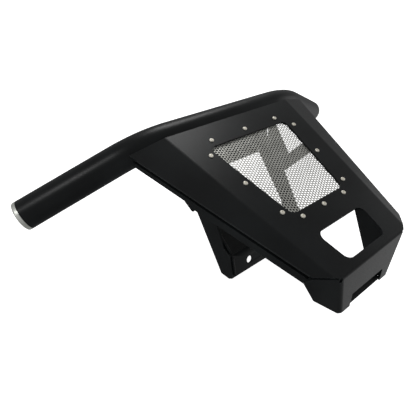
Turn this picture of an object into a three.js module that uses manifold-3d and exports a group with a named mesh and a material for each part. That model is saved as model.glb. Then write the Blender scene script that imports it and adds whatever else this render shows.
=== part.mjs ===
// Front grille guard: a bent tube over a folded face plate with a bolted mesh screen.
// Millimetres. Inside the guard group, places are given by at(u, v, w):
// u across the guard, v down the face from its top edge, w back from the face.
import * as THREE from "three";
import { mergeVertices } from "three/addons/utils/BufferGeometryUtils.js";
import Module from "manifold-3d";

const wasm = await Module();
wasm.setup();

// Clearances
const weldGap = 0.3; // between two parts that are welded along an edge
const holeClearance = 0.4; // between a screw and the hole it goes through

// Top tube
const tubeDiameter = 50.8;
const tubeWall = 3;
const tubeStraight = 250.8; // between the two bends
const tubeBendRadius = 192.3; // to the centreline
const tubeBendAngle = 29.4; // degrees, each side
const tubeLeg = 168.7; // straight length after each bend
const tubeV = -19.1; // centreline, above the face's top edge
const tubeW = 21.9; // centreline, behind the face
const tubeSweep = 15.7; // degrees that the legs rise as they go back
const capThickness = 7.2;
const capChamfer = 2;
const capPlugLength = 14;

// Face plate
const plateThickness = 4;
const faceTopWidth = 298.4;
const faceLength = 343.5;
const faceBottomWidth = 173.6;
const faceCornerCut = 14.104; // length of the cut corner between the face's bottom edge and the fold
const wingAngle = 17.5; // degrees back from the face
const wingTopWidth = 424.6; // across both outer corners
const wingTopRise = 5; // the outer corners stand above the face's top edge
const wingBottomWidth = 240;
const wingBottomRise = 26.5; // above the face's bottom edge

// Chin under the face
const chinAngle = 68.5; // degrees back from the face
const chinLength = 82;
const chinBottomWidth = 134;
const notchWidth = 88;
const notchDepth = 26;
const sideLipGap = 1.6; // relief slot between a wing's end and the side lip
const cornerRelief = 5; // diameter, where the face, chin and side lip meet
const sideLipReachU = 129;
const sideLipReachW = 18;
const sideLipCornerU = 108.4;
const sideLipCornerW = 54.2;
const sideLipFootU = 72;
const sideLipFootW = 77.4;

// Openings in the face
const windowTopV = 49.7;
const windowBottomV = 224;
const windowTopWidth = 191;
const windowBottomWidth = 132.6;
const windowCorner = 13;
const slotHeight = 59;
const slotRise = 15.5; // above the face's bottom edge
const slotTopWidth = 119;
const slotBottomWidth = 100;
const slotCorner = 13;

// Mesh screen and its screws
const meshThickness = 1;
const meshMargin = 9; // past the screw centres
const screwTopV = 37.2;
const screwTopSpacing = 79;
const screwBottomV = 235;
const screwBottomSpacing = 54;
const screwSideFirstV = 67;
const screwSideLastV = 213.4;
const screwSideFirstU = 104.4;
const screwSideLastU = 79.7;
const screwShank = 4;
const screwLength = 12;
const screwHead = 8;
const screwHeadHeight = 2.1;
const screwSocket = 2.5; // across flats
const screwSocketDepth = 1.3;
const nutFlats = 7;
const nutThickness = 3.2;

// Rails under the wing edges: an angle whose inner flange lies behind the wing
const railThickness = 3;
const railInset = 3;
const railFlangeWidth = 16;
const railStandoff = 12.5; // from the wing's outer face to the inner flange
const railTopV = 0;
const railTabStartV = 103;
const railTabEndV = 124.5;
const railBottomRise = 4; // above the wing's lower end
const railUpperDepth = 20; // behind the wing's outer face
const railTabDepth = 31;
const railLowerDepth = 26;

// Rear brackets. Outline points are [v, w].
const armThickness = 5;
const armSpacing = 198; // between the middles of the two arms, where w is armFlareStart
const armFlare = 0.08; // outward per unit back
const armFlareStart = 100;
const armHead = [[-6, 24], [-4, 48]]; // these run into the tube, which cuts them to fit
const armHeel = [[180.6, 199], [200, 192.2]];
const armFront = [[162, 146.2], [96.1, 94.7], [87.9, 51.7], [30, 14.6], [10, 11]];
const armSlot = [[20, 33], [30, 56]];
const armSlotWidth = 8;
const upperPlateThickness = 4;
const upperPlateStart = [-4.5, 43.2];
const upperPlateEnd = [24.6, 103.6];
const rearPlateThickness = 4;
const rearPlateTop = [178.9, 148.9];
const rearPlateEnd = [205.9, 184];
const rearHoleDiameter = 14;
const rearHoleSpacing = 119.2;
const rearHoleDown = 27.3; // from the plate's front edge
const footThickness = 4;
const footHead = [109, 129.5];
const footWidth = 50;
const strutThickness = 4;
const strutBack = [92.5, 98.1]; // where it leaves the arm
const strutFront = [87.9, 54];
const strutEndV = 107;
const strutEndW = 35;

// Ribs behind the chin
const ribThickness = 4;
const ribSpacing = 120;
const ribTopRise = 88; // above the face's bottom edge
const ribKneeRise = 25.5;
const ribKneeW = 62;
const stayThickness = 4;
const stayW = 71;
const stayTopRise = 8.5;
const tongueDrop = 27.5; // below the face's bottom edge

// Colours
const black = new THREE.Color(0x232527);
const silver = new THREE.Color(0xc9ccc8);
const steel = new THREE.Color(0xbdbcb8);

const degrees = Math.PI / 180;
const at = (u, v, w) => new THREE.Vector3(u, -v, -w);
const chin = { v: Math.cos(chinAngle * degrees), w: Math.sin(chinAngle * degrees) };

const rearPlateRun = [rearPlateEnd[0] - rearPlateTop[0], rearPlateEnd[1] - rearPlateTop[1]];
const rearPlateDepth = Math.hypot(...rearPlateRun);

function solidOf(geometry) {
  const bare = geometry.clone();
  bare.deleteAttribute("normal");
  bare.deleteAttribute("uv");
  const merged = mergeVertices(bare, 1e-4);
  return new wasm.Manifold(new wasm.Mesh({
    numProp: 3,
    vertProperties: new Float32Array(merged.attributes.position.array),
    triVerts: new Uint32Array(merged.index.array),
  }));
}

function geometryOf(solid) {
  const made = solid.getMesh();
  const geometry = new THREE.BufferGeometry();
  geometry.setAttribute("position", new THREE.BufferAttribute(made.vertProperties, 3));
  geometry.setIndex(new THREE.BufferAttribute(made.triVerts, 1));
  const flat = geometry.toNonIndexed();
  flat.computeVertexNormals();
  return flat;
}

// A flat plate: its outer face has the given corners, and its thickness goes towards inside.
// Holes are lists of corners too, or {centre, radius}.
function panel(corners, inside, thickness, holes = []) {
  const origin = corners[0];
  const x = corners[1].clone().sub(origin).normalize();
  const normal = new THREE.Vector3();
  for (let i = 1; i < corners.length - 1; i++) {
    const a = corners[i].clone().sub(origin);
    const b = corners[i + 1].clone().sub(origin);
    normal.add(a.cross(b));
  }
  normal.normalize();
  if (inside.clone().sub(origin).dot(normal) < 0) normal.negate();
  const y = normal.clone().cross(x);
  const flatten = (p) => {
    const d = p.clone().sub(origin);
    return new THREE.Vector2(d.dot(x), d.dot(y));
  };
  const shape = new THREE.Shape(corners.map(flatten));
  for (const hole of holes) {
    if (hole.radius) {
      const c = flatten(hole.centre);
      shape.holes.push(new THREE.Path().absarc(c.x, c.y, hole.radius, 0, 2 * Math.PI, true));
    } else {
      shape.holes.push(new THREE.Path(hole.map(flatten)));
    }
  }
  const geometry = new THREE.ExtrudeGeometry(shape, {
    depth: thickness,
    bevelEnabled: false,
    curveSegments: 7,
  });
  geometry.applyMatrix4(new THREE.Matrix4().makeBasis(x, y, normal).setPosition(origin));
  return geometry;
}

// The corners of a four-sided opening, each rounded.
function roundedOpening(topV, bottomV, topWidth, bottomWidth, radius) {
  const ends = [
    new THREE.Vector2(-topWidth / 2, topV),
    new THREE.Vector2(topWidth / 2, topV),
    new THREE.Vector2(bottomWidth / 2, bottomV),
    new THREE.Vector2(-bottomWidth / 2, bottomV),
  ];
  const points = [];
  ends.forEach((corner, i) => {
    const before = ends[(i + 3) % 4].clone().sub(corner).normalize();
    const after = ends[(i + 1) % 4].clone().sub(corner).normalize();
    const half = Math.acos(before.dot(after)) / 2;
    const middle = before.clone().add(after).normalize();
    const centre = corner.clone().addScaledVector(middle, radius / Math.sin(half));
    const start = corner.clone().addScaledVector(before, radius / Math.tan(half)).sub(centre);
    const turn = Math.PI - 2 * half;
    for (let k = 0; k <= 5; k++) {
      const p = start.clone().rotateAround(new THREE.Vector2(), (turn * k) / 5).add(centre);
      points.push(at(p.x, p.y, 0));
    }
  });
  return points;
}

function turned(profile, segments = 32) {
  return new THREE.LatheGeometry(profile.map(([r, h]) => new THREE.Vector2(r, h)), segments);
}

const guard = new THREE.Group();
guard.name = "guard";

function piece(name, geometry, color, roughness, metalness, parent = guard) {
  const material = new THREE.MeshStandardMaterial({ color, roughness, metalness });
  const mesh = new THREE.Mesh(geometry, material);
  mesh.name = name;
  parent.add(mesh);
  return mesh;
}

const painted = (name, geometry) => piece(name, geometry, black, 0.55, 0.1);
const sides = [["left", -1], ["right", 1]];

// Top tube: straight, bend, leg on each side, swept by stations along its centreline.
class TubeLine extends THREE.Curve {
  constructor() {
    super();
    this.stations = [];
    const half = [];
    const sweep = tubeSweep * degrees;
    const back = new THREE.Vector3(0, Math.sin(sweep), -Math.cos(sweep));
    const place = (across, behind, angle) => half.push({
      point: new THREE.Vector3(across, -tubeV, -tubeW).addScaledVector(back, behind),
      tangent: new THREE.Vector3(Math.cos(angle), 0, 0).addScaledVector(back, Math.sin(angle)),
    });
    const bendSteps = 9;
    for (let k = 0; k <= bendSteps; k++) {
      const angle = (tubeBendAngle * degrees * k) / bendSteps;
      place(tubeStraight / 2 + tubeBendRadius * Math.sin(angle),
        tubeBendRadius * (1 - Math.cos(angle)), angle);
    }
    const angle = tubeBendAngle * degrees;
    place(tubeStraight / 2 + tubeBendRadius * Math.sin(angle) + tubeLeg * Math.cos(angle),
      tubeBendRadius * (1 - Math.cos(angle)) + tubeLeg * Math.sin(angle), angle);
    const mirrored = half.map(({ point, tangent }) => ({
      point: point.clone().setX(-point.x),
      tangent: new THREE.Vector3(tangent.x, -tangent.y, -tangent.z),
    }));
    this.stations = [...mirrored.reverse(), ...half];
    this.arcLengthDivisions = 1;
  }
  at(u) {
    return this.stations[Math.round(u * (this.stations.length - 1))];
  }
  getPointAt(u) {
    return this.at(u).point.clone();
  }
  getTangentAt(u) {
    return this.at(u).tangent.clone();
  }
}

const tubeLine = new TubeLine();
const ring = new THREE.Shape().absarc(0, 0, tubeDiameter / 2, 0, 2 * Math.PI, false);
const boreRadius = tubeDiameter / 2 - tubeWall;
ring.holes.push(new THREE.Path().absarc(0, 0, boreRadius, 0, 2 * Math.PI, true));
painted("main_tube", new THREE.ExtrudeGeometry(ring, {
  steps: tubeLine.stations.length - 1,
  curveSegments: 16,
  extrudePath: tubeLine,
}));

// What is cut away from the parts that are welded against the tube
const tubeRoomShape = new THREE.Shape().absarc(
  0, 0, tubeDiameter / 2 + weldGap, 0, 2 * Math.PI, false);
const tubeRoom = solidOf(new THREE.ExtrudeGeometry(tubeRoomShape, {
  steps: tubeLine.stations.length - 1,
  curveSegments: 16,
  extrudePath: tubeLine,
}));

const capRadius = tubeDiameter / 2;
const plugRadius = boreRadius - weldGap;
for (const [side, sign] of sides) {
  const end = tubeLine.getPointAt(sign < 0 ? 0 : 1);
  const outward = tubeLine.getTangentAt(sign < 0 ? 0 : 1).multiplyScalar(sign);
  const cap = piece(side + "_end_cap", turned([
    [0, -capPlugLength],
    [plugRadius - 1, -capPlugLength],
    [plugRadius, 1 - capPlugLength],
    [plugRadius, weldGap],
    [capRadius, weldGap],
    [capRadius, weldGap + capThickness - capChamfer],
    [capRadius - 0.3 * capChamfer, weldGap + capThickness - 0.3 * capChamfer],
    [capRadius - capChamfer, weldGap + capThickness],
    [0, weldGap + capThickness],
  ]), silver, 0.35, 0.9);
  cap.quaternion.setFromUnitVectors(new THREE.Vector3(0, 1, 0), outward);
  cap.position.copy(end);
}

// Where the screws go
const screwPlaces = [-1, 0, 1].map((k) => [k * screwTopSpacing, screwTopV]);
for (const sign of [1, -1]) {
  for (let k = 0; k < 3; k++) {
    screwPlaces.push([
      sign * THREE.MathUtils.lerp(screwSideFirstU, screwSideLastU, k / 2),
      THREE.MathUtils.lerp(screwSideFirstV, screwSideLastV, k / 2),
    ]);
  }
}
screwPlaces.push(...[-1, 0, 1].map((k) => [k * screwBottomSpacing, screwBottomV]));
const screwHoles = (w, radius) => screwPlaces.map(([u, v]) => ({ centre: at(u, v, w), radius }));

// Front plate: face, two wings, the chin and its side lips, folded from one sheet.
// The wing's end edge runs straight on along the face's cut corner, where the fold ends.
const wingCorner = [wingTopWidth / 2, -wingTopRise];
const wingFoot = [wingBottomWidth / 2, faceLength - wingBottomRise];
const chinTop = [faceBottomWidth / 2, faceLength];
const cutLength = Math.hypot(wingFoot[0] - chinTop[0], wingBottomRise);
const foldEndU = chinTop[0] + (faceCornerCut * (wingFoot[0] - chinTop[0])) / cutLength;
const foldEndV = chinTop[1] - (faceCornerCut * wingBottomRise) / cutLength;
const foldTaper = (faceTopWidth / 2 - foldEndU) / foldEndV;
const foldHalf = (v) => faceTopWidth / 2 - foldTaper * v;
const wingTan = Math.tan(wingAngle * degrees) * Math.cos(Math.atan(foldTaper));
const wingW = (u, v) => (u - foldHalf(v)) * wingTan;
const behind = at(0, faceLength / 2, 500);

const windowCorners = roundedOpening(
  windowTopV, windowBottomV, windowTopWidth, windowBottomWidth, windowCorner);
const slotBottomV = faceLength - slotRise;
const slotTopV = slotBottomV - slotHeight;
const slotCorners = roundedOpening(
  slotTopV, slotBottomV, slotTopWidth, slotBottomWidth, slotCorner);
const faceOutline = [
  at(-faceTopWidth / 2, 0, 0),
  at(faceTopWidth / 2, 0, 0),
  at(foldEndU, foldEndV, 0),
  at(chinTop[0], chinTop[1], 0),
  at(-chinTop[0], chinTop[1], 0),
  at(-foldEndU, foldEndV, 0),
];
let plate = solidOf(panel(faceOutline, behind, plateThickness, [
  windowCorners,
  slotCorners,
  ...screwHoles(0, screwShank / 2 + holeClearance),
]));

const chinPoint = (u, along, depth = 0) =>
  at(u, faceLength + chin.v * along - chin.w * depth, chin.w * along + chin.v * depth);
const footHalf = chinBottomWidth / 2;
const notchStart = chinLength - notchDepth;
plate = plate.add(solidOf(panel([
  chinPoint(-chinTop[0], 0),
  chinPoint(chinTop[0], 0),
  chinPoint(footHalf, chinLength),
  chinPoint(notchWidth / 2, chinLength),
  chinPoint(notchWidth / 2, notchStart),
  chinPoint(-notchWidth / 2, notchStart),
  chinPoint(-notchWidth / 2, chinLength),
  chinPoint(-footHalf, chinLength),
], behind, plateThickness)));

for (const [, sign] of sides) {
  const mirror = (u, v, w) => at(sign * u, v, w);
  plate = plate.add(solidOf(panel([
    mirror(faceTopWidth / 2, 0, 0),
    mirror(foldEndU, foldEndV, 0),
    mirror(wingFoot[0], wingFoot[1], wingW(...wingFoot)),
    mirror(wingCorner[0], wingCorner[1], wingW(...wingCorner)),
  ], behind, plateThickness)));
  // The side lip lies in the plane of the chin's side edge and the wing's end edge.
  const a = mirror(chinTop[0], chinTop[1], 0);
  const b = chinPoint(sign * footHalf, chinLength);
  const d = mirror(wingFoot[0], wingFoot[1] + sideLipGap, wingW(...wingFoot) + sideLipGap);
  const lipPlane = new THREE.Plane().setFromCoplanarPoints(a, b, d);
  const onLip = (u, w) => {
    const n = lipPlane.normal;
    const z = -w;
    return new THREE.Vector3(sign * u, -(lipPlane.constant + n.x * sign * u + n.z * z) / n.y, z);
  };
  const slotU = chinTop[0] + 1.5;
  plate = plate.add(solidOf(panel([
    a,
    onLip(slotU, sideLipGap),
    onLip(wingFoot[0], wingW(...wingFoot) + sideLipGap + 1),
    onLip(sideLipReachU, sideLipReachW),
    onLip(sideLipCornerU, sideLipCornerW),
    onLip(sideLipFootU, sideLipFootW),
    b,
  ], behind, plateThickness)));
}
for (const [, sign] of sides) {
  const relief = new THREE.CylinderGeometry(cornerRelief / 2, cornerRelief / 2, 4 * plateThickness, 20);
  relief.rotateX(Math.PI / 2);
  relief.translate(sign * chinTop[0], -chinTop[1], 0);
  plate = plate.subtract(solidOf(relief));
}
painted("front_plate", geometryOf(plate.subtract(tubeRoom)));

// Mesh screen behind the window
const meshW = plateThickness + weldGap;
const meshHalf = (v) => THREE.MathUtils.mapLinear(
  v, screwSideFirstV, screwSideLastV, screwSideFirstU, screwSideLastU) + meshMargin;
const meshTopV = screwTopV - meshMargin;
const meshBottomV = screwBottomV + meshMargin;
piece("mesh_screen", panel([
  at(-meshHalf(meshTopV), meshTopV, meshW),
  at(meshHalf(meshTopV), meshTopV, meshW),
  at(meshHalf(meshBottomV), meshBottomV, meshW),
  at(-meshHalf(meshBottomV), meshBottomV, meshW),
], behind, meshThickness, screwHoles(meshW, screwShank / 2 + holeClearance)), steel, 0.4, 0.8);

// Button-head screws and their nuts
const headRadius = screwHead / 2;
const screwBody = solidOf(turned([
  [0, -screwLength],
  [screwShank / 2 - 0.5, -screwLength],
  [screwShank / 2, 0.5 - screwLength],
  [screwShank / 2, weldGap],
  [headRadius, weldGap],
  [headRadius, weldGap + 0.5],
  [0.86 * headRadius, weldGap + 0.6 * screwHeadHeight],
  [0.6 * headRadius, weldGap + 0.9 * screwHeadHeight],
  [0.4 * headRadius, weldGap + screwHeadHeight],
  [0, weldGap + screwHeadHeight],
], 16));
const socket = new THREE.CylinderGeometry(
  screwSocket / Math.sqrt(3), screwSocket / Math.sqrt(3), 2 * screwSocketDepth, 6);
socket.translate(0, weldGap + screwHeadHeight, 0);
const screwGeometry = geometryOf(screwBody.subtract(solidOf(socket))).rotateX(Math.PI / 2);
const nutShape = new THREE.Shape(Array.from({ length: 6 }, (_, k) => new THREE.Vector2(
  (nutFlats / Math.sqrt(3)) * Math.cos((k * Math.PI) / 3),
  (nutFlats / Math.sqrt(3)) * Math.sin((k * Math.PI) / 3))));
nutShape.holes.push(
  new THREE.Path().absarc(0, 0, screwShank / 2 + weldGap, 0, 2 * Math.PI, true));
const nutGeometry = new THREE.ExtrudeGeometry(
  nutShape, { depth: nutThickness, bevelEnabled: false, curveSegments: 6 });
const nutW = meshW + meshThickness + weldGap + nutThickness;
screwPlaces.forEach(([u, v], i) => {
  const number = String(i + 1).padStart(2, "0");
  piece("mesh_screw_" + number, screwGeometry, silver, 0.35, 0.9).position.copy(at(u, v, 0));
  piece("mesh_nut_" + number, nutGeometry, silver, 0.45, 0.9).position.copy(at(u, v, nutW));
});

// The edge line of a wing, taken inwards by inset
const edgeSlope = (wingFoot[0] - wingCorner[0]) / (wingFoot[1] - wingCorner[1]);
const edgeU = (v, inset) => wingCorner[0] + edgeSlope * (v - wingCorner[1]) - inset;
const wingBackW = (u, v) =>
  wingW(u, v) + plateThickness / Math.cos(wingAngle * degrees) + weldGap;
const armU = (w, offset) => armSpacing / 2 + armFlare * (w - armFlareStart) + offset;
const armOuterU = (w) => armU(w, armThickness / 2);
const armInnerU = (w) => armU(w, -armThickness / 2 - weldGap);

// Cross plates between the arms
const across = (sign, [v, w]) => at(sign * armInnerU(w), v, w);
const crossPlate = (start, end, inside, thickness, holes) => panel([
  across(-1, start), across(1, start), across(1, end), across(-1, end),
], inside, thickness, holes);
painted("upper_cross_plate", geometryOf(solidOf(crossPlate(
  upperPlateStart, upperPlateEnd, at(0, -300, 60), upperPlateThickness)).subtract(tubeRoom)));

const rearHole = rearPlateTop.map((p, i) => p + (rearHoleDown * rearPlateRun[i]) / rearPlateDepth);
const rearHoles = [-1, 1].map((sign) => ({
  centre: at((sign * rearHoleSpacing) / 2, ...rearHole),
  radius: rearHoleDiameter / 2,
}));
painted("rear_cross_plate", crossPlate(
  rearPlateTop, rearPlateEnd, at(0, 0, 400), rearPlateThickness, rearHoles));
// What the foot gussets are cut back by, where they meet the rear cross plate
const rearPlateRoom = solidOf(panel([
  at(-armSpacing, rearPlateTop[0] - (weldGap * rearPlateRun[0]) / rearPlateDepth,
    rearPlateTop[1] - (weldGap * rearPlateRun[1]) / rearPlateDepth),
  at(armSpacing, rearPlateTop[0] - (weldGap * rearPlateRun[0]) / rearPlateDepth,
    rearPlateTop[1] - (weldGap * rearPlateRun[1]) / rearPlateDepth),
  at(armSpacing, ...rearPlateEnd),
  at(-armSpacing, ...rearPlateEnd),
], at(0, 0, 400), rearPlateThickness + weldGap));

for (const [side, sign] of sides) {
  const mirror = (u, v, w) => at(sign * u, v, w);
  const middle = mirror(0, faceLength / 2, 60);

  // Rail under the wing's outer edge, with a tab at its middle
  const rail = (v, depth) => {
    const u = edgeU(v, railInset);
    return mirror(u, v, wingW(u, v) + depth);
  };
  const railBottomV = wingFoot[1] - railBottomRise;
  const railTabRun = railTabEndV - railTabStartV;
  const outerFlange = solidOf(panel([
    rail(railTopV, railStandoff),
    rail(railTopV, railUpperDepth),
    rail(railTabStartV, railUpperDepth + 0.5),
    rail(railTabStartV + 0.75 * railTabRun, railTabDepth),
    rail(railTabStartV + 0.9 * railTabRun, railTabDepth),
    rail(railTabEndV, railLowerDepth),
    rail(railBottomV, railLowerDepth),
    rail(railBottomV, railStandoff),
  ], middle, railThickness));
  const innerFlange = (gap) => {
    const corner = (v, inset) => {
      const u = edgeU(v, inset);
      return mirror(u, v, wingW(u, v) + railStandoff - gap);
    };
    return solidOf(panel([
      corner(railTopV, railInset),
      corner(railBottomV, railInset),
      corner(railBottomV, railInset + railFlangeWidth + gap),
      corner(railTopV, railInset + railFlangeWidth + gap),
    ], mirror(0, faceLength / 2, 900), railThickness + 2 * gap));
  };
  painted(side + "_side_rail",
    geometryOf(outerFlange.add(innerFlange(0)).subtract(tubeRoom)));

  // Arm from under the tube back to the rear cross plate
  const arm = (v, w) => mirror(armOuterU(w), v, w);
  const slotHalf = armSlotWidth / 2;
  painted(side + "_arm", geometryOf(solidOf(panel([
    ...armHead.map((p) => arm(...p)),
    arm(...upperPlateEnd),
    ...armHeel.map((p) => arm(...p)),
    arm(...rearPlateEnd),
    arm(...rearPlateTop),
    ...armFront.map((p) => arm(...p)),
  ], middle, armThickness, [[
    arm(armSlot[0][0] - slotHalf, armSlot[0][1]),
    arm(armSlot[0][0] + slotHalf, armSlot[0][1]),
    arm(armSlot[1][0] + slotHalf, armSlot[1][1]),
    arm(armSlot[1][0] - slotHalf, armSlot[1][1]),
  ]])).subtract(tubeRoom)));

  // Strut from the arm out to the rail
  const strutStart = (w) => armOuterU(w) + weldGap + 1;
  const strutEnd = edgeU(strutEndV, railInset + railThickness + 1);
  const strutPlane = new THREE.Plane().setFromCoplanarPoints(
    mirror(strutStart(strutBack[1]), ...strutBack),
    mirror(strutStart(strutFront[1]), ...strutFront),
    mirror(strutEnd, strutEndV, strutEndW),
  );
  const onStrut = (u, w) => {
    const n = strutPlane.normal;
    return new THREE.Vector3(sign * u, -(strutPlane.constant + n.x * sign * u - n.z * w) / n.y, -w);
  };
  const strutMeetU = THREE.MathUtils.lerp(strutStart(strutFront[1]), strutEnd, 0.62);
  painted(side + "_strut", geometryOf(solidOf(panel([
    onStrut(strutStart(strutBack[1]), strutBack[1]),
    onStrut(strutStart(strutFront[1]), strutFront[1]),
    onStrut(strutMeetU, wingBackW(strutMeetU, strutFront[0]) + 1.5),
    onStrut(strutEnd, wingBackW(strutEnd, strutFront[0]) + 1.5),
    onStrut(strutEnd, strutEndW),
  ], mirror(armOuterU(60), 300, 60), strutThickness)).subtract(innerFlange(weldGap))));

  // Foot gusset between the arm and the rear cross plate
  const foot = (share, inset = 0) => {
    const v = THREE.MathUtils.lerp(footHead[0], rearPlateTop[0], share);
    const w = THREE.MathUtils.lerp(footHead[1], rearPlateTop[1], share);
    return mirror(armInnerU(w) - inset, v, w);
  };
  const footTip = 4;
  painted(side + "_foot_gusset", geometryOf(solidOf(panel([
    foot(0),
    foot(1),
    foot(1, footWidth),
    foot(0.94, footWidth),
    foot(0, footTip),
  ], mirror(0, footHead[0], 400), footThickness)).subtract(rearPlateRoom)));

  // Rib behind the chin, beside the lower opening
  const ribOuter = ribSpacing / 2 + ribThickness / 2;
  const rib = (v, w) => mirror(ribOuter, v, w);
  const ribChin = (along) => chinPoint(sign * ribOuter, along, plateThickness + weldGap);
  painted(side + "_chin_rib", panel([
    rib(faceLength - ribTopRise, meshW),
    rib(faceLength - ribKneeRise, ribKneeW),
    rib(faceLength - stayTopRise - 9, stayW - weldGap),
    ribChin((stayW - weldGap - chin.v * (plateThickness + weldGap)) / chin.w),
    ribChin(plateThickness),
  ], middle, ribThickness));
}

// Stay across the backs of the ribs, with a tongue in the chin's notch
const stayTopV = faceLength - stayTopRise;
const tongueEndV = faceLength + tongueDrop;
const stayHalf = ribSpacing / 2 - ribThickness / 2;
const tongueHalf = notchWidth / 2 - weldGap;
const stayEndV = -chinPoint(0, stayW / chin.w).y - plateThickness / chin.w - 1;
painted("chin_stay", panel([
  at(-stayHalf, stayTopV, stayW),
  at(stayHalf, stayTopV, stayW),
  at(stayHalf, stayEndV, stayW),
  at(tongueHalf, stayEndV, stayW),
  at(tongueHalf, tongueEndV, stayW),
  at(-tongueHalf, tongueEndV, stayW),
  at(-tongueHalf, stayEndV, stayW),
  at(-stayHalf, stayEndV, stayW),
], at(0, stayTopV, 400), stayThickness));

// The origin is under the middle of the whole guard
const room = new THREE.Box3().setFromObject(guard, true);
guard.position.set(
  -(room.min.x + room.max.x) / 2, -(room.min.y + room.max.y) / 2, -room.min.z);

const frontGrilleGuard = new THREE.Group();
frontGrilleGuard.name = "front_grille_guard";
frontGrilleGuard.add(guard);

export default frontGrilleGuard;
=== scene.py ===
import math

import bmesh
import bpy
from mathutils import Matrix, Vector


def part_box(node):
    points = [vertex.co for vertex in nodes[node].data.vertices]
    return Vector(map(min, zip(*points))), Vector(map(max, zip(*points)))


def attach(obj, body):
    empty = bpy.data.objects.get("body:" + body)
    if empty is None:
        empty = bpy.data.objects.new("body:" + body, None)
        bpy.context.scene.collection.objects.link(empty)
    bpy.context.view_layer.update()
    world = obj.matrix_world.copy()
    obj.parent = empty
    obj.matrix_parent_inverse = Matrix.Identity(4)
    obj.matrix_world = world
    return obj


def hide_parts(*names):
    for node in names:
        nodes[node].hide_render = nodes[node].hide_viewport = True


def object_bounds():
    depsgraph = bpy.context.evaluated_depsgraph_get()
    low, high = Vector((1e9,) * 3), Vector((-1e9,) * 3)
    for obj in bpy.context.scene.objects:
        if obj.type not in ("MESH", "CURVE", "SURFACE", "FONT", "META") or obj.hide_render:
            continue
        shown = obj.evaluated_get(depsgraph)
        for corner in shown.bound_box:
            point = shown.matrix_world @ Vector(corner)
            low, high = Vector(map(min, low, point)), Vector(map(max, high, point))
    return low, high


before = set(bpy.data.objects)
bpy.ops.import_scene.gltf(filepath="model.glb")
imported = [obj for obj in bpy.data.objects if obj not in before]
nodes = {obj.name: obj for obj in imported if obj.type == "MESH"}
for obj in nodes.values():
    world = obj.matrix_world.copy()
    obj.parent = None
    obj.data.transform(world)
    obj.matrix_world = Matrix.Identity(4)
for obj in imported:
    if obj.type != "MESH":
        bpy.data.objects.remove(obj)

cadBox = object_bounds()
mm = 0.001
sides = {"left": -1, "right": 1}

# Places are (across, down the face from its top edge, back from the face), in mm
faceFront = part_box("front_plate")[1].z
screenTop = 28.2  # the mesh screen's top edge, down from the face's
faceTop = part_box("mesh_screen")[1].y + screenTop * mm


def at(across, down, back):
    return Vector((across * mm, faceTop - down * mm, faceFront - back * mm))


# Small helpers

def nothingSelected():
    if bpy.context.mode != "OBJECT":
        bpy.ops.object.mode_set(mode="OBJECT")
    bpy.ops.object.select_all(action="DESELECT")


def namePiece(name):  # the primitive that was just added, with its place put in its mesh
    piece = bpy.context.object
    piece.name = piece.data.name = name
    bpy.ops.object.transform_apply(location=True, rotation=True, scale=True)
    return piece


def pick(kind, test):  # selects verts, edges or faces in edit mode
    modes = ("verts", "edges", "faces")
    bpy.context.tool_settings.mesh_select_mode = tuple(kind == m for m in modes)
    bpy.ops.mesh.select_all(action="DESELECT")
    data = bpy.context.edit_object.data
    mesh = bmesh.from_edit_mesh(data)
    for item in getattr(mesh, kind):
        if test(item):
            item.select_set(True)
    bmesh.update_edit_mesh(data)


def middle(item):
    return sum((v.co for v in item.verts), Vector()) / len(item.verts)


def selectOnly(*pieces):
    nothingSelected()
    for piece in pieces:
        piece.select_set(True)
    bpy.context.view_layer.objects.active = pieces[0]


def addAndApply(piece, kind, **settings):
    selectOnly(piece)
    modifier = piece.modifiers.new(kind.lower(), kind)
    for name, value in settings.items():
        setattr(modifier, name, value)
    bpy.ops.object.modifier_apply(modifier=modifier.name)


def cutAway(piece, *tools, foldedOver=False):
    for tool in tools:
        addAndApply(piece, "BOOLEAN", object=tool, operation="DIFFERENCE", solver="EXACT",
                    use_self=foldedOver)
    selectOnly(*tools)
    bpy.ops.object.delete()


def complete(piece, finish, standsFor, smooth=30):
    selectOnly(piece)
    bpy.ops.object.shade_smooth_by_angle(angle=math.radians(smooth))
    addAndApply(piece, "WEIGHTED_NORMAL", keep_sharp=True, weight=100)
    piece.data.materials.clear()
    piece.data.materials.append(finish)
    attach(piece, "root")
    if standsFor:
        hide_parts(*standsFor)


# Finishes

def linear(hexColour):  # sRGB hex to linear RGBA
    channels = [int(hexColour[i:i + 2], 16) / 255 for i in (1, 3, 5)]
    turned = [c / 12.92 if c <= 0.04045 else ((c + 0.055) / 1.055) ** 2.4 for c in channels]
    return (*turned, 1)


def addNode(tree, kind, settings=(), links=()):
    node = tree.nodes.new(kind)
    for name, value in dict(settings).items():
        if name in node.inputs:
            node.inputs[name].default_value = value
        else:
            setattr(node, name, value)
    for name, source in dict(links).items():
        tree.links.new(source, node.inputs[name])
    return node


def stops(ramp, *colours):  # (place, colour) pairs
    elements = ramp.color_ramp.elements
    while len(elements) < len(colours):
        elements.new(0.5)
    for element, (place, colour) in zip(elements, colours):
        element.position = place
        element.color = linear(colour) if isinstance(colour, str) else (*[colour] * 3, 1)


def newFinish(name):
    finish = bpy.data.materials.new(name)
    finish.use_nodes = True
    tree = finish.node_tree
    shader = tree.nodes["Principled BSDF"]
    place = addNode(tree, "ShaderNodeTexCoord").outputs["Object"]
    return finish, tree, shader, place


# Polyester powder coat, baked on: satin black, faint orange peel, and a painted highlight that
# makes its edges a little lighter
powderCoat = {
    # the edge colour and its radius give a painted highlight along rounded edges
    "deep": "#0b0d0e", "light": "#141718", "edge": "#2c3033",
    "cloudMm": 70, "peelMm": 4.5, "grainMm": 1.6,  # real peel is about 1.5 mm: drawn coarser
    "smoothest": 0.3, "roughest": 0.4, "peelDepthMm": 0.04, "sheen": 0.22, "edgeMm": 1.1,
}


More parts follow.
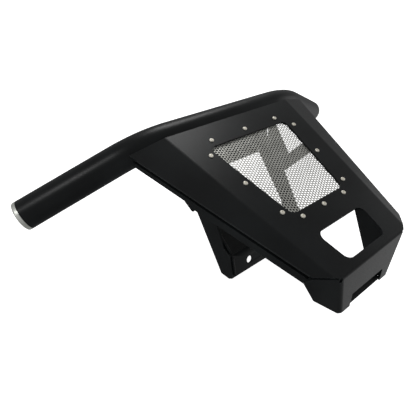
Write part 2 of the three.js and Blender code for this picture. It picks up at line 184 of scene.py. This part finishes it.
def makePowderCoat(name, values):
    finish, tree, shader, place = newFinish(name)
    cloud = addNode(tree, "ShaderNodeTexNoise",
                    {"Scale": 1 / (values["cloudMm"] * mm), "Detail": 3}, {"Vector": place})
    tint = addNode(tree, "ShaderNodeValToRGB", links={"Fac": cloud.outputs["Fac"]})
    stops(tint, (0.35, values["deep"]), (0.7, values["light"]))
    flat = addNode(tree, "ShaderNodeNewGeometry").outputs["Normal"]
    # the bevel normal finds the rounded edges, where the painted highlight goes
    rounded = addNode(tree, "ShaderNodeBevel", {"Radius": values["edgeMm"] * mm, "samples": 6})
    same = addNode(tree, "ShaderNodeVectorMath", {"operation": "DOT_PRODUCT"})
    tree.links.new(flat, same.inputs[0])
    tree.links.new(rounded.outputs["Normal"], same.inputs[1])
    edgeHighlightMask = addNode(tree, "ShaderNodeValToRGB", links={"Fac": same.outputs["Value"]})
    stops(edgeHighlightMask, (0.8, 0.6), (0.97, 0.0))  # painted highlight: lighter only where the rounded edge turns away
    # mixes the edge colour in as a painted highlight along the rounded edges
    colour = addNode(tree, "ShaderNodeMixRGB", {"Color2": linear(values["edge"])},
                     {"Fac": edgeHighlightMask.outputs["Color"], "Color1": tint.outputs["Color"]})
    grain = addNode(tree, "ShaderNodeTexNoise",
                    {"Scale": 1 / (values["grainMm"] * mm), "Detail": 2}, {"Vector": place})
    gloss = addNode(tree, "ShaderNodeMapRange",
                    {"From Min": 0.3, "From Max": 0.7, "To Min": values["smoothest"],
                     "To Max": values["roughest"]}, {"Value": grain.outputs["Fac"]})
    peel = addNode(tree, "ShaderNodeTexNoise",
                   {"Scale": 1 / (values["peelMm"] * mm), "Detail": 1}, {"Vector": place})
    bump = addNode(tree, "ShaderNodeBump",
                   {"Strength": 0.5, "Distance": values["peelDepthMm"] * mm},
                   {"Height": peel.outputs["Fac"]})
    tree.links.new(colour.outputs["Color"], shader.inputs["Base Color"])
    tree.links.new(gloss.outputs["Result"], shader.inputs["Roughness"])
    tree.links.new(bump.outputs["Normal"], shader.inputs["Normal"])
    shader.inputs["IOR"].default_value = 1.5
    shader.inputs["Specular IOR Level"].default_value = values["sheen"]
    return finish


# Aluminium turned on a lathe: pale grey, satin, with soft cloudy handling marks
turnedAluminium = {"base": "#eceee8", "dull": "#d0d2cb", "cloudMm": 14, "scratchMm": 1.2,
                   "smoothest": 0.26, "roughest": 0.42}
# Zinc-plated steel: warm bright grey, slightly blotchy where the plating gathers
zincPlate = {"base": "#f8f4e8", "dull": "#dedacb", "cloudMm": 3, "scratchMm": 0.6,
             "smoothest": 0.3, "roughest": 0.48}
# Stainless sheet as rolled and punched: light grey with a soft grain
rolledSteel = {"base": "#cacac4", "dull": "#b8b8b2", "cloudMm": 25, "scratchMm": 1.5,
               "smoothest": 0.34, "roughest": 0.5}


def makeBareMetal(name, values, metallic=1.0):
    finish, tree, shader, place = newFinish(name)
    cloud = addNode(tree, "ShaderNodeTexNoise",
                    {"Scale": 1 / (values["cloudMm"] * mm), "Detail": 4}, {"Vector": place})
    tint = addNode(tree, "ShaderNodeValToRGB", links={"Fac": cloud.outputs["Fac"]})
    stops(tint, (0.3, values["dull"]), (0.62, values["base"]))
    scratch = addNode(tree, "ShaderNodeTexNoise",
                      {"Scale": 1 / (values["scratchMm"] * mm), "Detail": 2},
                      {"Vector": place})
    gloss = addNode(tree, "ShaderNodeMapRange",
                    {"From Min": 0.3, "From Max": 0.7, "To Min": values["smoothest"],
                     "To Max": values["roughest"]}, {"Value": scratch.outputs["Fac"]})
    bump = addNode(tree, "ShaderNodeBump", {"Strength": 0.25, "Distance": 0.02 * mm},
                   {"Height": scratch.outputs["Fac"]})
    tree.links.new(tint.outputs["Color"], shader.inputs["Base Color"])
    tree.links.new(gloss.outputs["Result"], shader.inputs["Roughness"])
    tree.links.new(bump.outputs["Normal"], shader.inputs["Normal"])
    shader.inputs["Metallic"].default_value = metallic
    return finish


blackCoat = makePowderCoat("satinBlackPowderCoat", powderCoat)
aluminium = makeBareMetal("turnedAluminium", turnedAluminium, 0.8)
zinc = makeBareMetal("zincPlatedSteel", zincPlate, 0.4)
sheetSteel = makeBareMetal("rolledStainlessSheet", rolledSteel, 0.75)
print("finishes made")

# Top tube and its end caps

topTube = {"diameter": 50.8, "wall": 3, "straight": 250.8, "bendRadius": 192.3, "bend": 29.4,
           "leg": 168.7, "down": -19.1, "back": 21.9, "sweep": 15.7,
           "facets": 72, "bendSteps": 20}
bendTurn = math.radians(topTube["bend"])
sweepTurn = math.radians(topTube["sweep"])
legBack = Vector((0, math.sin(sweepTurn), -math.cos(sweepTurn)))
legAlong = Vector((math.cos(bendTurn), 0, 0)) + legBack * math.sin(bendTurn)


def tubePoint(along):  # along the middle of the right half, from the guard's centre
    straight = topTube["straight"] / 2
    radius = topTube["bendRadius"]
    centre = at(0, topTube["down"], topTube["back"])
    if along <= straight:
        return centre + Vector((along * mm, 0, 0))
    turn = min(bendTurn, (along - straight) / radius)
    point = centre + Vector(((straight + radius * math.sin(turn)) * mm, 0, 0))
    point += legBack * radius * (1 - math.cos(turn)) * mm
    return point + legAlong * max(0, along - straight - radius * bendTurn) * mm


tubeHalfLength = topTube["straight"] / 2 + topTube["bendRadius"] * bendTurn + topTube["leg"]


def makeTube():
    straight = topTube["straight"] / 2
    nothingSelected()
    bpy.ops.mesh.primitive_circle_add(
        vertices=topTube["facets"], radius=topTube["diameter"] / 2 * mm,
        location=tubePoint(0), rotation=(0, math.radians(90), 0))
    tube = namePiece("bent_top_tube")
    bpy.ops.object.mode_set(mode="EDIT")
    bpy.ops.mesh.select_all(action="SELECT")
    bpy.ops.mesh.extrude_region_move(TRANSFORM_OT_translate={"value": (straight * mm, 0, 0)})
    bpy.ops.mesh.spin(
        steps=topTube["bendSteps"], angle=bendTurn,
        center=tubePoint(straight) + legBack * topTube["bendRadius"] * mm,
        axis=Vector((-1, 0, 0)).cross(legBack))
    bpy.ops.mesh.extrude_region_move(
        TRANSFORM_OT_translate={"value": legAlong * topTube["leg"] * mm})
    bpy.ops.object.mode_set(mode="OBJECT")
    addAndApply(tube, "MIRROR", merge_threshold=0.0001)
    bpy.ops.object.mode_set(mode="EDIT")
    bpy.ops.mesh.select_all(action="SELECT")
    bpy.ops.mesh.remove_doubles(threshold=0.00001)
    bpy.ops.mesh.normals_make_consistent(inside=False)
    bpy.ops.object.mode_set(mode="OBJECT")
    top = max(tube.data.polygons, key=lambda face: face.center.z)
    if top.normal.z < 0:  # an open tube has no inside, so the way out is checked
        tube.data.flip_normals()
    addAndApply(tube, "SOLIDIFY", thickness=topTube["wall"] * mm, offset=-1,
                use_even_offset=True)
    complete(tube, blackCoat, ["main_tube"])


makeTube()
print("top tube made")

endCap = {"thickness": 7.2, "rim": 2.4, "rimSteps": 5, "seat": 0.3, "plug": 22.1,
          "plugLength": 14, "facets": 72}


def makeEndCap(side, sign):
    outward = Vector((sign * legAlong.x, legAlong.y, legAlong.z))
    end = tubePoint(tubeHalfLength)
    end.x *= sign
    half = endCap["thickness"] / 2
    nothingSelected()
    bpy.ops.mesh.primitive_cylinder_add(
        vertices=endCap["facets"], radius=topTube["diameter"] / 2 * mm,
        depth=endCap["thickness"] * mm, location=end + outward * (endCap["seat"] + half) * mm,
        rotation=outward.to_track_quat("Z", "Y").to_euler())
    cap = namePiece(side + "_turned_cap")
    bpy.ops.object.mode_set(mode="EDIT")
    pick("faces", lambda f: f.normal.dot(outward) > 0.9)
    bpy.ops.mesh.region_to_loop()
    bpy.ops.mesh.bevel(offset=endCap["rim"] * mm, segments=endCap["rimSteps"],
                       affect="EDGES")
    pick("faces", lambda f: f.normal.dot(outward) < -0.9)
    bpy.ops.mesh.inset(thickness=(topTube["diameter"] / 2 - endCap["plug"]) * mm)
    bpy.ops.mesh.extrude_region_move(
        TRANSFORM_OT_translate={"value": -outward * endCap["plugLength"] * mm})
    bpy.ops.object.mode_set(mode="OBJECT")
    complete(cap, aluminium, [side + "_end_cap"])


for side, sign in sides.items():
    makeEndCap(side, sign)
print("end caps made")

# Front plate, folded from one sheet

facePlate = {"thickness": 4, "topWidth": 298.4, "length": 343.5, "bottomWidth": 173.6,
             "taper": 0.1535, "cutEdge": 0.5, "screwHole": 4.8, "cornerRelief": 5}
wing = {"angle": 17.5, "topWidth": 424.6, "topRise": 5, "bottomWidth": 240, "bottomDown": 317,
        "fold": 2.4, "foldSteps": 5}
chin = {"angle": 68.5, "length": 82, "bottomWidth": 134, "notchWidth": 88, "notchDepth": 26,
        "fold": 4.2, "foldSteps": 7}
sideLip = {"slot": 1.6, "reach": (129, 18), "corner": (108.4, 54.2), "foot": (72, 77.4)}
meshWindow = {"topDown": 49.7, "bottomDown": 224, "topWidth": 191, "bottomWidth": 132.6,
              "corner": 13}
lowerSlot = {"topDown": 269, "bottomDown": 328, "topWidth": 119, "bottomWidth": 100,
             "corner": 13}

wingSlope = math.tan(math.radians(wing["angle"])) * math.cos(math.atan(facePlate["taper"]))


def foldAcross(down):
    return facePlate["topWidth"] / 2 - facePlate["taper"] * down


def wingBack(across, down):
    return (across - foldAcross(down)) * wingSlope


def chinAt(across, along, inside=0):
    turn = math.radians(chin["angle"])
    return at(across, facePlate["length"] + math.cos(turn) * along - math.sin(turn) * inside,
              math.sin(turn) * along + math.cos(turn) * inside)


def flatPanel(name, corners):  # a filled circle whose vertices are moved to the corners
    nothingSelected()
    bpy.ops.mesh.primitive_circle_add(vertices=len(corners), radius=0.1, fill_type="NGON",
                                      location=corners[0])
    panel = namePiece(name)
    bpy.ops.object.mode_set(mode="EDIT")
    for i, corner in enumerate(corners):
        pick("verts", lambda v: v.index == i)
        here = bmesh.from_edit_mesh(panel.data).verts
        here.ensure_lookup_table()
        bpy.ops.transform.translate(value=corner - here[i].co)
    bpy.ops.object.mode_set(mode="OBJECT")
    return panel


def roundedCutter(name, opening, depth):
    downs = (opening["topDown"], opening["bottomDown"])
    halves = (opening["topWidth"] / 2, opening["bottomWidth"] / 2)
    ends = [at(-halves[0], downs[0], -depth), at(halves[0], downs[0], -depth),
            at(halves[1], downs[1], -depth), at(-halves[1], downs[1], -depth)]
    cutter = flatPanel(name, ends)
    bpy.ops.object.mode_set(mode="EDIT")
    bpy.ops.mesh.select_all(action="SELECT")
    bpy.ops.mesh.extrude_region_move(
        TRANSFORM_OT_translate={"value": (0, 0, -2 * depth * mm)})
    bpy.ops.mesh.select_all(action="SELECT")
    bpy.ops.mesh.normals_make_consistent(inside=False)
    for i, end in enumerate(ends):
        before = (ends[i - 1] - end).normalized()
        after = (ends[(i + 1) % 4] - end).normalized()
        half = before.angle(after) / 2
        pick("edges", lambda e: (middle(e).xy - end.xy).length < 0.01 * mm)
        bpy.ops.mesh.bevel(offset=opening["corner"] / math.tan(half) * mm, segments=12,
                           affect="EDGES")
    bpy.ops.object.mode_set(mode="OBJECT")
    return cutter


def makeFacePlate():
    wingFoot = (wing["bottomWidth"] / 2, wing["bottomDown"])
    wingCorner = (wing["topWidth"] / 2, -wing["topRise"])
    chinTop = (facePlate["bottomWidth"] / 2, facePlate["length"])
    cut = (chinTop[0] - wingFoot[0]) / (chinTop[1] - wingFoot[1])
    endDown = (wingFoot[0] - cut * wingFoot[1] - facePlate["topWidth"] / 2) \
        / (-facePlate["taper"] - cut)
    endAcross = foldAcross(endDown)
    half = facePlate["topWidth"] / 2
    foot = chin["bottomWidth"] / 2
    notch = chin["notchWidth"] / 2
    notchTop = chin["length"] - chin["notchDepth"]
    panels = [flatPanel("folded_face_plate", [
        at(-half, 0, 0), at(half, 0, 0), at(endAcross, endDown, 0), at(*chinTop, 0),
        at(-chinTop[0], chinTop[1], 0), at(-endAcross, endDown, 0)])]
    panels.append(flatPanel("chin_panel", [
        chinAt(-chinTop[0], 0), chinAt(chinTop[0], 0), chinAt(foot, chin["length"]),
        chinAt(notch, chin["length"]), chinAt(notch, notchTop), chinAt(-notch, notchTop),
        chinAt(-notch, chin["length"]), chinAt(-foot, chin["length"])]))
    for sign in sides.values():
        panels.append(flatPanel("wing_panel", [
            at(sign * half, 0, 0), at(sign * endAcross, endDown, 0),
            at(sign * wingFoot[0], wingFoot[1], wingBack(*wingFoot)),
            at(sign * wingCorner[0], wingCorner[1], wingBack(*wingCorner))]))
        # the lip's plane holds the chin's side edge and runs along the wing's end edge
        slot = sideLip["slot"]
        top = at(sign * chinTop[0], chinTop[1], 0)
        bottom = chinAt(sign * foot, chin["length"])
        far = at(sign * wingFoot[0], wingFoot[1] + slot, wingBack(*wingFoot) + slot)
        normal = (bottom - top).cross(far - top)

        def onLip(across, back):
            point = at(sign * across, 0, back)
            point.y = top.y - (normal.x * (point.x - top.x)
                               + normal.z * (point.z - top.z)) / normal.y
            return point

        panels.append(flatPanel("lip_panel", [
            top, onLip(chinTop[0] + 1.5, slot),
            onLip(wingFoot[0], wingBack(*wingFoot) + slot + 1), onLip(*sideLip["reach"]),
            onLip(*sideLip["corner"]), onLip(*sideLip["foot"]), bottom]))
    selectOnly(*panels)
    bpy.ops.object.join()
    plate = bpy.context.object
    bpy.ops.object.mode_set(mode="EDIT")
    bpy.ops.mesh.select_all(action="SELECT")
    bpy.ops.mesh.remove_doubles(threshold=0.00002)
    bpy.ops.mesh.normals_make_consistent(inside=False)
    bpy.ops.object.mode_set(mode="OBJECT")
    face = max(plate.data.polygons, key=lambda f: f.area)
    if face.normal.z < 0:  # an open sheet has no inside either
        plate.data.flip_normals()
    bpy.ops.object.mode_set(mode="EDIT")
    low = at(0, endDown, 0).y
    pick("edges", lambda e: len(e.link_faces) == 2 and middle(e).y < low - 5 * mm)
    bpy.ops.mesh.bevel(offset=chin["fold"] * mm, segments=chin["foldSteps"],
                       affect="EDGES", clamp_overlap=False)
    pick("edges", lambda e: len(e.link_faces) == 2 and middle(e).y > low
         and abs(middle(e).z - faceFront) < 0.01 * mm)
    bpy.ops.mesh.bevel(offset=wing["fold"] * mm, segments=wing["foldSteps"],
                       affect="EDGES")
    bpy.ops.object.mode_set(mode="OBJECT")
    addAndApply(plate, "SOLIDIFY", thickness=facePlate["thickness"] * mm, offset=-1,
                use_even_offset=True)
    cutters = [roundedCutter("window_cutter", meshWindow, 8),
               roundedCutter("slot_cutter", lowerSlot, 8)]
    holes = [(at(sign * chinTop[0], chinTop[1], 0), facePlate["cornerRelief"])
             for sign in sides.values()]
    holes += [(screwPlace(name), facePlate["screwHole"]) for name in screwNodes]
    for place, across in holes:
        nothingSelected()
        bpy.ops.mesh.primitive_cylinder_add(vertices=28, radius=across / 2 * mm,
                                            depth=16 * mm, location=place)
        cutters.append(namePiece("hole_cutter"))
    selectOnly(*cutters[4:])
    bpy.ops.object.join()
    cutAway(plate, cutters[0], cutters[1], bpy.context.object)
    cutAway(plate, *cutters[2:4], foldedOver=True)
    addAndApply(plate, "BEVEL", width=facePlate["cutEdge"] * mm, segments=2,
                limit_method="ANGLE", angle_limit=math.radians(50),
                use_clamp_overlap=True)
    complete(plate, blackCoat, ["front_plate"])


screwNodes = sorted(n for n in nodes if n.startswith("mesh_screw_"))


def screwPlace(name):  # on the face, in the middle of the screw
    low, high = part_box(name)
    return Vector(((low.x + high.x) / 2, (low.y + high.y) / 2, faceFront))


makeFacePlate()
print("face plate made")

# Mesh screen

meshSheet = {"thickness": 1, "pitch": 5.5, "hole": 4.5, "facets": 12}


def makeMeshSheet():
    pitch = meshSheet["pitch"] * mm
    row = pitch * math.sqrt(3) / 2
    low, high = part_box("mesh_screen")
    nothingSelected()
    start = Vector((low.x - 2 * row, low.y - pitch, high.z))
    bpy.ops.mesh.primitive_circle_add(
        vertices=6, radius=pitch / math.sqrt(3), location=start, rotation=(0, 0, math.radians(30)))
    sheet = namePiece("perforated_screen")
    bpy.ops.object.mode_set(mode="EDIT")
    bpy.ops.mesh.primitive_circle_add(vertices=meshSheet["facets"],
                                      radius=meshSheet["hole"] / 2 * mm, location=start)
    bpy.ops.mesh.select_all(action="SELECT")
    bpy.ops.mesh.bridge_edge_loops()
    bpy.ops.mesh.select_all(action="SELECT")
    bpy.ops.mesh.duplicate_move(TRANSFORM_OT_translate={"value": (row, pitch / 2, 0)})
    bpy.ops.object.mode_set(mode="OBJECT")
    across = math.ceil((high.x - low.x) / (2 * row)) + 3
    down = math.ceil((high.y - low.y) / pitch) + 3
    addAndApply(sheet, "ARRAY", count=across, use_relative_offset=False,
                use_constant_offset=True, constant_offset_displace=(2 * row, 0, 0))
    addAndApply(sheet, "ARRAY", count=down, use_relative_offset=False,
                use_constant_offset=True, constant_offset_displace=(0, pitch, 0))
    bpy.ops.object.mode_set(mode="EDIT")
    bpy.ops.mesh.select_all(action="SELECT")
    bpy.ops.mesh.remove_doubles(threshold=0.00002)
    corners = sorted((v.co.copy() for v in nodes["mesh_screen"].data.vertices
                      if abs(v.co.x) > 60 * mm), key=lambda c: (c.y, abs(c.x)))
    bottomHalf = max(abs(c.x) for c in corners if c.y < low.y + 0.1 * mm)
    slope = Vector((high.y - low.y, -(high.x - bottomHalf), 0)).normalized()
    for point, normal in (
            (Vector((0, high.y, high.z)), Vector((0, 1, 0))),
            (Vector((0, low.y, high.z)), Vector((0, -1, 0))),
            (Vector((high.x, high.y, high.z)), slope),
            (Vector((-high.x, high.y, high.z)), Vector((-slope.x, slope.y, 0)))):
        bpy.ops.mesh.select_all(action="SELECT")
        bpy.ops.mesh.bisect(plane_co=point, plane_no=normal, clear_outer=True)
    bpy.ops.mesh.select_all(action="SELECT")
    bpy.ops.mesh.normals_make_consistent(inside=False)
    bpy.ops.object.mode_set(mode="OBJECT")
    if max(sheet.data.polygons, key=lambda f: f.area).normal.z < 0:
        sheet.data.flip_normals()
    addAndApply(sheet, "SOLIDIFY", thickness=meshSheet["thickness"] * mm, offset=-1)
    complete(sheet, sheetSteel, ["mesh_screen"])


makeMeshSheet()
print("mesh screen made")

# Screws

buttonScrew = {"head": 8, "height": 2.1, "dome": 1.7, "seat": 0.3, "shank": 4,
               "length": 12, "socket": 2.5, "socketDepth": 1.3, "facets": 32}


def makeScrews():
    place = screwPlace(screwNodes[0])
    head = buttonScrew["height"] * mm
    seat = buttonScrew["seat"] * mm
    nothingSelected()
    bpy.ops.mesh.primitive_cylinder_add(
        vertices=buttonScrew["facets"], radius=buttonScrew["head"] / 2 * mm, depth=head,
        location=place + Vector((0, 0, seat + head / 2)))
    screw = namePiece("button_screw_01")
    bpy.ops.object.mode_set(mode="EDIT")
    pick("faces", lambda f: f.normal.z > 0.9)
    bpy.ops.mesh.region_to_loop()
    bpy.ops.mesh.bevel(offset=buttonScrew["dome"] * mm, segments=6, affect="EDGES")
    pick("faces", lambda f: f.normal.z < -0.9)
    bpy.ops.mesh.inset(thickness=(buttonScrew["head"] - buttonScrew["shank"]) / 2 * mm)
    bpy.ops.mesh.extrude_region_move(
        TRANSFORM_OT_translate={"value": (0, 0, -(buttonScrew["length"] * mm + seat))})
    bpy.ops.object.mode_set(mode="OBJECT")
    nothingSelected()
    bpy.ops.mesh.primitive_cylinder_add(
        vertices=6, radius=buttonScrew["socket"] / math.sqrt(3) * mm,
        depth=2 * buttonScrew["socketDepth"] * mm, location=place + Vector((0, 0, seat + head)))
    cutAway(screw, namePiece("key_cutter"))
    complete(screw, zinc, [screwNodes[0]])
    for number, name in enumerate(screwNodes[1:], 2):
        selectOnly(screw)
        bpy.ops.object.duplicate()
        copy = bpy.context.object
        bpy.ops.transform.translate(value=screwPlace(name) - place)
        namePiece("button_screw_%02d" % number)
        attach(copy, "root")
        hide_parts(name)


makeScrews()
print("screws made")

# Weld beads

weldBead = {"radius": 2.3, "ripple": 0.16, "step": 1.7, "tip": 0.55,
            "offTube": 26.6}  # from the tube's middle to the bead round an arm's head
arms = {"middle": 99, "flare": 0.08, "flareStart": 100, "thickness": 5}


def armFace(back, outward):  # across, of an arm's outer or inner face
    half = arms["thickness"] / 2
    return arms["middle"] + arms["flare"] * (back - arms["flareStart"]) + outward * half


def alongArm(start, end, outward, lift):  # a bead in the corner between a plate and an arm
    path = []
    for down, back in (start, end):
        path.append((armFace(back, outward) + outward * 1.3, down + lift[0], back + lift[1]))
    return path


def roundTube(outward):  # a bead where an arm's head meets the tube
    path = []
    for degrees in range(-14, 60, 4):
        turn = math.radians(degrees)
        back = topTube["back"] + weldBead["offTube"] * math.sin(turn)
        down = topTube["down"] + weldBead["offTube"] * math.cos(turn)
        path.append((armFace(back, outward) + outward * 1.0, down, back))
    return path


def weldPaths():
    paths = [
        [(8, 2.2, 6.7), (44, 2.2, 6.7)], [(84, 2.2, 6.7), (122, 2.2, 6.7)],  # tube to face
        [(8, -2.2, 43.4), (46, -2.2, 43.4)], [(58, -2.2, 43.4), (88, -2.2, 43.4)],
        roundTube(1), roundTube(-1),
        alongArm((-2, 48), (22, 98.3), -1, (1.4, -0.7)),  # upper cross plate
        alongArm((181, 151.6), (203, 180.2), -1, (1.1, -0.9)),  # rear cross plate
        alongArm((112, 130.4), (175, 147.8), -1, (0.3, -1.4)),  # foot gusset
        alongArm((91.5, 93), (88.2, 57), 1, (-1.6, 0)),  # strut
        [(63.3, 262, 5.3), (63.3, 292, 5.3)], [(63.3, 304, 5.3), (63.3, 328, 5.3)],
        [(119.5, 315, 10), (118.5, 315, 20)],  # rail to side lip
        [(45.5, 366.9, 71.5), (57, 366.9, 71.5)],  # stay to chin
    ]
    return paths + [[(-across, down, back) for across, down, back in p] for p in paths]


def makeWelds():
    curve = bpy.data.curves.new("weld_beads", "CURVE")
    curve.dimensions = "3D"
    curve.bevel_depth = weldBead["radius"] * mm
    curve.bevel_resolution = 2
    curve.use_fill_caps = True
    for path in weldPaths():
        corners = [at(*point) for point in path]
        points = []
        for start, end in zip(corners, corners[1:]):
            steps = max(1, round((end - start).length / (weldBead["step"] * mm)))
            points += [start.lerp(end, i / steps) for i in range(steps)]
        points.append(corners[-1])
        line = curve.splines.new("POLY")
        line.points.add(len(points) - 1)
        for i, point in enumerate(points):
            line.points[i].co = (*point, 1)
            line.points[i].radius = 1 - weldBead["ripple"] * (i % 2)
        line.points[0].radius = line.points[-1].radius = weldBead["tip"]
    beads = bpy.data.objects.new("weld_beads", curve)
    bpy.context.scene.collection.objects.link(beads)
    selectOnly(beads)
    bpy.ops.object.convert(target="MESH")
    complete(bpy.context.object, blackCoat, [], 60)


makeWelds()
print("welds made")

# Brackets, kept as the CAD made them, with their cut edges broken

bracketEdge = {"width": 0.6, "nutWidth": 0.35, "steps": 2, "sharperThan": 35}
keptSteel = [n for n in sorted(nodes) if n.startswith("mesh_nut_")]
keptBrackets = [n for n in sorted(nodes) if not n.startswith("mesh_")
                and not n.endswith("_end_cap") and n not in ("main_tube", "front_plate")]
for name in keptBrackets + keptSteel:
    bracket = nodes[name]
    width = bracketEdge["width" if name in keptBrackets else "nutWidth"]
    joined = bracket.modifiers.new("joined", "WELD")
    joined.merge_threshold = 0.00001
    broken = bracket.modifiers.new("brokenEdge", "BEVEL")
    broken.width = width * mm
    broken.segments = bracketEdge["steps"]
    broken.limit_method = "ANGLE"
    broken.angle_limit = math.radians(bracketEdge["sharperThan"])
    bracket.data.materials.clear()
    bracket.data.materials.append(blackCoat if name in keptBrackets else zinc)
print("brackets finished")

# Stage, light and camera

floorLevel = cadBox[0][2]
studio = {"floorSize": 16, "floor": "#f4f4f4", "glow": 0.95, "zenith": 0.32, "upper": 0.33,
          "horizon": 0.28, "below": 0.15, "card": 0.5, "cardWay": (0.84, -0.43, -0.33)}


def makeStage():
    nothingSelected()
    bpy.ops.mesh.primitive_plane_add(size=studio["floorSize"], location=(0, 0, floorLevel))
    floor = namePiece("studio_floor")
    paper = bpy.data.materials.new("palePaper")
    paper.use_nodes = True
    shader = paper.node_tree.nodes["Principled BSDF"]
    shader.inputs["Base Color"].default_value = linear(studio["floor"])
    shader.inputs["Roughness"].default_value = 0.9
    shader.inputs["Emission Color"].default_value = (1, 1, 1, 1)
    shader.inputs["Emission Strength"].default_value = studio["glow"]
    floor.data.materials.append(paper)
    floor.visible_glossy = False  # the black coat mirrors the dim room, not the paper
    world = bpy.data.worlds.new("studioRoom")
    bpy.context.scene.world = world
    world.use_nodes = True
    tree = world.node_tree
    way = addNode(tree, "ShaderNodeTexCoord").outputs["Generated"]
    height = addNode(tree, "ShaderNodeSeparateXYZ", links={"Vector": way})
    rise = addNode(tree, "ShaderNodeMapRange", {"From Min": -1, "From Max": 1},
                   {"Value": height.outputs["Z"]})
    shade = addNode(tree, "ShaderNodeValToRGB", links={"Fac": rise.outputs["Result"]})
    stops(shade, (0.3, studio["below"]), (0.5, studio["horizon"]), (0.65, studio["upper"]),
          (1.0, studio["zenith"]))
    # a pale card low on the right, which the chin mirrors
    facing = addNode(tree, "ShaderNodeVectorMath", {"operation": "DOT_PRODUCT"})
    tree.links.new(way, facing.inputs[0])
    facing.inputs[1].default_value = studio["cardWay"]
    card = addNode(tree, "ShaderNodeValToRGB", links={"Fac": facing.outputs["Value"]})
    stops(card, (0.8, 0.0), (0.98, studio["card"]))
    both = addNode(tree, "ShaderNodeMixRGB", {"blend_type": "ADD", "Fac": 1},
                   {"Color1": shade.outputs["Color"], "Color2": card.outputs["Color"]})
    tree.links.new(both.outputs["Color"], tree.nodes["Background"].inputs["Color"])


softBoxes = {
    "keyBox": {"place": (0.8, 1.45, 1.35), "size": 0.8, "power": 11},
    "sideBox": {"place": (1.7, -0.2, 0.7), "size": 0.8, "power": 2},
    "stripBox": {"place": (-1.2, 0.45, 1.35), "size": 0.45, "power": 5},
}


def makeLights():
    target = (Vector(cadBox[0]) + Vector(cadBox[1])) / 2
    for name, box in softBoxes.items():
        place = Vector(box["place"])
        nothingSelected()
        bpy.ops.object.light_add(type="AREA", location=place,
                                 rotation=(target - place).to_track_quat("-Z", "Y").to_euler())
        light = bpy.context.object
        light.name = name
        light.data.size = box["size"]
        light.data.energy = box["power"]


viewCamera = {"from": (-499.2, 386.1, -434.5),  # across, down, back
              "right": (0.74923, -0.61629, 0.24257), "up": (0.36169, 0.68754, 0.62965),
              "lens": 35.29, "shift": (-0.0166, 0.0064)}


def makeCamera():
    right = Vector(viewCamera["right"]).normalized()
    away = right.cross(Vector(viewCamera["up"])).normalized()
    up = away.cross(right)
    nothingSelected()
    bpy.ops.object.camera_add(location=at(*viewCamera["from"]),
                              rotation=Matrix((right, up, away)).transposed().to_euler())
    camera = bpy.context.object
    camera.data.lens = viewCamera["lens"]
    camera.data.sensor_width = 36
    camera.data.shift_x, camera.data.shift_y = viewCamera["shift"]
    camera.data.clip_start = 0.01
    bpy.context.scene.camera = camera


makeStage()
makeLights()
makeCamera()
bpy.context.scene.view_settings.view_transform = "Standard"
print("studio set")
